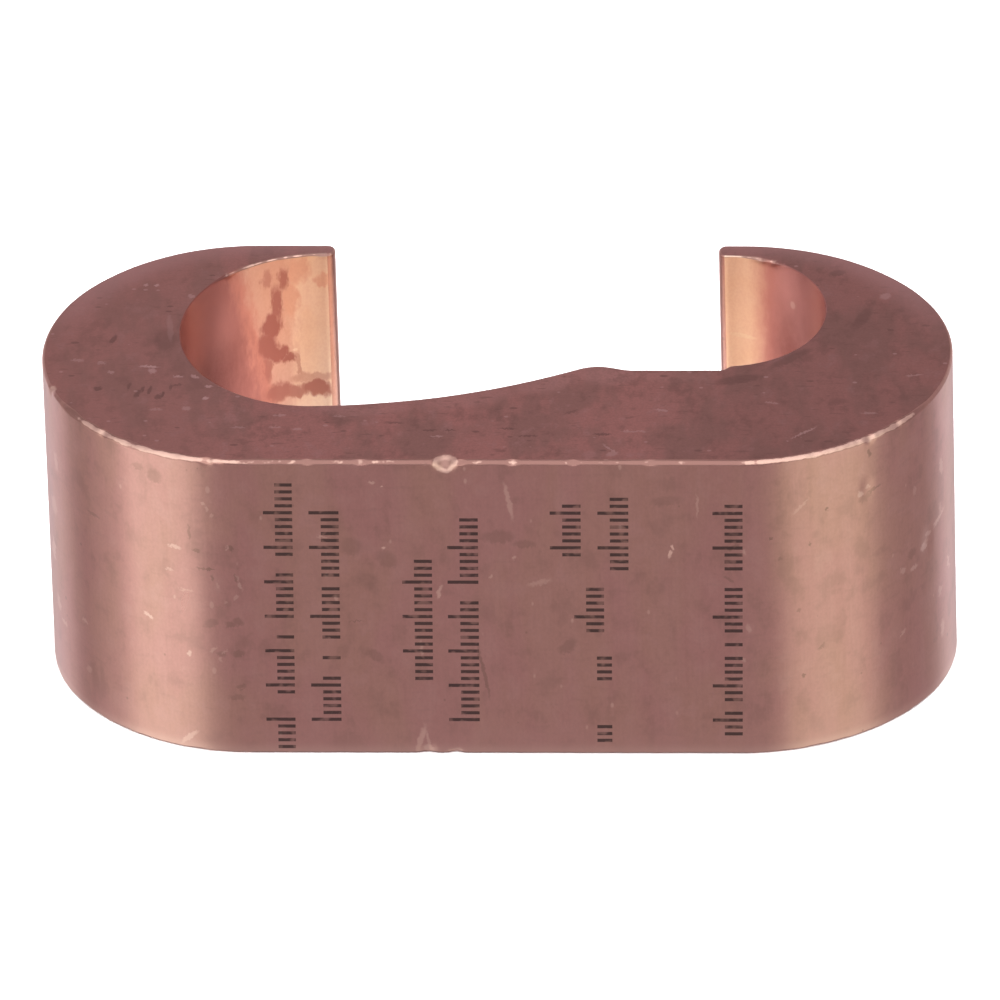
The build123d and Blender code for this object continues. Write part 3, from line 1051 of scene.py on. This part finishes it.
def groove_finish():
    """The grooves' inside: bright peach copper with ragged stains.

    Painted shade turns it red-brown deeper in the grooves and low down, and a painted highlight brightens it
    near the run arm's tip.
    """
    g = Graph("groove")
    broad = g.noise((1.2, 1.2, 0.08), 1.0, 2.0)
    patches = g.noise((0.35, 0.35, 0.3), 2.0, 7.0)
    grain = g.noise((7.0, 7.0, 5.0), 1.0, 2.0)
    ragged = g.noise((2.0, 2.0, 0.7), 3.0, 11.0, 0.6)
    ragged_too = g.noise((1.6, 1.6, 0.9), 3.0, 31.0, 0.6)
    x = g.scaled(ragged, RAGGED, g.math("SUBTRACT", g.x, RAGGED / 2))
    z = g.scaled(ragged_too, RAGGED, g.math("SUBTRACT", g.z, RAGGED / 2))
    tap_x = g.scaled(ragged, RAGGED / 2, g.math("SUBTRACT", g.x, RAGGED / 4))
    slanted = g.scaled(z, SLANT, g.math("ADD", x, -SLANT_FROM_Z * SLANT))
    colour = g.blend(g.between(patches, 0.4, 0.65, 0.0, 0.6), GROOVE_PEACH, GROOVE_OCHRE)
    colour = g.tinted(colour, GROOVE_SALMON, broad, 0.3, 0.75, 0.12)
    back = g.between(g.y, *BACK_WALL_Y)
    # Painted highlight on the back wall near the run arm's tip
    tip_highlight = g.product(g.between(g.x, *TIP_X, 0.0, 0.9), g.between(g.x, *TIP_END_X), back)
    colour = g.blend(tip_highlight, colour, GROOVE_BRIGHT)
    # Painted shade: apricot, salmon, deep and rose bands deeper in the grooves
    colour = g.tinted(colour, GROOVE_APRICOT, x, *APRICOT_X)
    colour = g.tinted(colour, GROOVE_SALMON, slanted, *SALMON_X)
    colour = g.tinted(colour, GROOVE_DEEP_SHADE, slanted, *DEEP_X)
    colour = g.tinted(colour, GROOVE_ROSE, tap_x, *ROSE_X)
    # Painted shade low down in the grooves' far parts
    run_shade = g.product(g.between(x, *RUN_SHADE_X), g.between(z, *RUN_SHADE_Z))
    tap_shade = g.product(g.between(tap_x, *TAP_SHADE_X), g.between(tap_x, *TAP_PALER_X, 0.5, 1.0))
    tap_shade = g.product(tap_shade, g.between(z, *TAP_SHADE_Z))
    colour = g.blend(g.most(run_shade, tap_shade), colour, GROOVE_SHADE)
    frayed = g.plane(x, z)
    colour = g.blend(g.product(g.marks(frayed, GROOVE_TINTS), back), colour, GROOVE_TINT)
    stains = g.product(g.marks(frayed, GROOVE_STAINS), back)
    colour = g.blend(stains, colour, GROOVE_STAIN)
    streaks = g.product(g.marks(g.plane(g.x, g.z), GROOVE_STREAKS), back)
    colour = g.blend(streaks, colour, GROOVE_BRIGHT)
    colour = g.tinted(colour, GROOVE_STAIN, grain, 0.3, 0.7, 0.08)
    colour, _ = bared(g, colour)
    roughness = g.scaled(patches, 0.12, GROOVE_ROUGHNESS - 0.06)
    roughness = g.scaled(stains, 0.15, roughness)
    return g.finish(colour, roughness, (broad, GROOVE_LINES), (grain, GROOVE_GRAIN))


def cut_finish(name, light_marks=(), dark_marks=()):
    """A cut end: dull, mottled, with faint saw lines along X, dark strokes, bright flecks and a painted rim
    highlight.
    """
    g = Graph(name)
    patches = g.noise((0.4, 0.16, 0.2), 3.0, 3.0, 0.6)
    clouds = g.noise((0.8, 0.6, 0.5), 4.0, 6.0, 0.65)
    saw = g.noise((0.5, 4.0, 1.0), 1.0, 4.0)
    grain = g.noise((7.0, 7.0, 7.0), 1.0, 2.0)
    colour = g.blend(g.between(patches, 0.4, 0.6), CUT_MAUVE, CUT_OLIVE)
    strokes = g.noise((0.9, 4.0, 1.0), 2.0, 25.0)
    if light_marks:
        plane = g.frayed(clouds, g.y, grain)
        # Painted sheen along the belly and the crest
        colour = g.blend(g.marks(plane, CUT_FRINGE_SHEENS), colour, CUT_FRINGE_SHEEN)
    colour = g.tinted(colour, CUT_DARK, clouds, 0.5, 0.7, 0.42)
    colour = g.tinted(colour, CUT_PALE, clouds, 0.45, 0.3, 0.4)
    colour = g.tinted(colour, CUT_DARK, strokes, 0.62, 0.74, 0.4)
    colour = g.tinted(colour, CUT_DARK, saw, 0.4, 0.75, 0.05)
    colour = g.tinted(colour, CUT_DARK, grain, 0.3, 0.7, 0.16)
    colour = g.tinted(colour, CUT_DARK, g.x, *CUT_DARK_X, 0.32)
    colour = g.tinted(colour, CUT_OLIVE, g.x, *CUT_OLIVE_X, 0.4)
    dark = g.product(g.specks((0.9, 2.0, 0.3), 0.2, 0.3, 5.0), 0.6)
    light = g.product(g.specks((1.3, 1.9, 0.3), 0.14, 0.27, 17.0), 0.45)
    if light_marks:
        dark = g.most(dark, g.marks(plane, dark_marks))
        light = g.most(light, g.marks(plane, light_marks))
    colour = g.blend(dark, colour, CUT_DARK)
    colour = g.blend(light, colour, CUT_FLECK)
    # Painted highlight along the rim of the rounded ends and the back
    beyond = g.math("MAXIMUM", g.math("SUBTRACT", g.math("ABSOLUTE", g.x), ROUND_END_X), 0.0)
    outward = g.math("SQRT", g.scaled(beyond, beyond, g.math("MULTIPLY", g.y, g.y)))
    rim_highlight = g.product(g.between(outward, *RIM_OUTWARD), g.between(g.y, *RIM_Y), 0.7)
    colour = g.blend(rim_highlight, colour, CUT_RIM_HIGHLIGHT)
    colour, _ = bared(g, colour)
    roughness = g.scaled(clouds, 0.12, CUT_ROUGHNESS - 0.06)
    return g.finish(colour, roughness, (saw, CUT_LINES), (grain, CUT_GRAIN))


def set_camera(centre):
    """The photograph's camera, aimed at the connector's centre."""
    yaw, rise, roll = (math.radians(a) for a in (CAMERA_YAW, CAMERA_ELEVATION, CAMERA_ROLL))
    forward = Vector((math.cos(rise) * math.sin(yaw), math.cos(rise) * math.cos(yaw), -math.sin(rise)))
    level = Vector((math.cos(yaw), -math.sin(yaw), 0))
    under = forward.cross(level)
    right = level * math.cos(roll) + under * math.sin(roll)
    down = under * math.cos(roll) - level * math.sin(roll)
    data = bpy.data.cameras.new("camera")
    data.sensor_width = SENSOR_MM
    data.lens = PIXELS_PER_MM * CAMERA_DISTANCE / IMAGE_PIXELS * SENSOR_MM
    data.clip_start, data.clip_end = 0.01, 10
    aim = Vector(centre) - MM / PIXELS_PER_MM * (right * OFFSET_PIXELS[0] + down * OFFSET_PIXELS[1])
    place = aim - forward * CAMERA_DISTANCE * MM
    turn = Matrix((right, -down, -forward)).transposed().to_4x4()
    camera = added("camera", data)
    camera.matrix_world = Matrix.Translation(place) @ turn
    bpy.context.scene.camera = camera


def softbox(name, azimuth, elevation, distance, width, height, radiance, colour):
    """A rectangular light that faces the connector. Azimuth 0 is the photograph's side, 90 is +X."""
    data = bpy.data.lights.new(name, "AREA")
    data.shape = "RECTANGLE"
    data.size, data.size_y = width, height
    data.energy = radiance * math.pi * width * height
    data.color = colour
    light = added(name, data)
    a, e = math.radians(azimuth), math.radians(elevation)
    away = Vector((math.sin(a) * math.cos(e), -math.cos(a) * math.cos(e), math.sin(e)))
    light.location = away * distance
    light.rotation_euler = away.to_track_quat("Z", "Y").to_euler()
    light.visible_camera = False
    return light


def floor_part(name, corners, faces, in_reflections):
    """One part of the level pale floor. The parts look alike, but only one of them shows in the metal."""
    mesh = bpy.data.meshes.new(name)
    mesh.from_pydata([(x, y, 0) for x, y in corners], [], faces)
    g = Graph(name)
    uneven = g.noise((0.02, 0.02, 0.02), 2.0)
    colour = g.blend(uneven, FLOOR_WHITE, FLOOR_GREY)
    g.tree.links.new(colour, g.shader.inputs["Base Color"])
    g.shader.inputs["Roughness"].default_value = FLOOR_ROUGHNESS
    mesh.materials.append(g.material)
    piece = added(name, mesh)
    piece.visible_glossy = in_reflections


def set_floor():
    """A wide floor with a rectangular opening, and the patch that fills the opening."""
    (x0, y0), (x1, y1) = PATCH_LOW, PATCH_HIGH
    patch = [(x0, y0), (x1, y0), (x1, y1), (x0, y1)]
    far = [(x * FLOOR_REACH, y * FLOOR_REACH) for x, y in ((-1, -1), (1, -1), (1, 1), (-1, 1))]
    round_patch = [(4 + i, 4 + (i + 1) % 4, (i + 1) % 4, i) for i in range(4)]
    floor_part("floor", patch + far, round_patch, False)
    floor_part("floor_patch", patch, [(0, 1, 2, 3)], True)


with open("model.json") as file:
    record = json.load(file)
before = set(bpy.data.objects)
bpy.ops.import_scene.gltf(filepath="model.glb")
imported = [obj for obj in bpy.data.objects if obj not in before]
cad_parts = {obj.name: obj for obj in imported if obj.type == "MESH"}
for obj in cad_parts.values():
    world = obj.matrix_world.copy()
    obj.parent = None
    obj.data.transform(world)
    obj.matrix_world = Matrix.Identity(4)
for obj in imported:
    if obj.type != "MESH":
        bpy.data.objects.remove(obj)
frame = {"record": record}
cad_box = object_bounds()
centre = (cad_box[0] + cad_box[1]) / 2

body = connector(frame)
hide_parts("connector_body")
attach(body, "root")

set_floor()
set_camera(centre)
for name, values in LIGHTS.items():
    softbox(name, *values)
for name, (azimuth, radiance) in OVERHEAD_LIGHTS.items():
    softbox(name, azimuth, *OVERHEAD, radiance, WHITE).visible_glossy = False

world = bpy.data.worlds.new("world")
bpy.context.scene.world = world
world.use_nodes = True
world.node_tree.nodes["Background"].inputs["Color"].default_value = (*SURROUND, 1)
bpy.context.scene.view_settings.view_transform = "Standard"
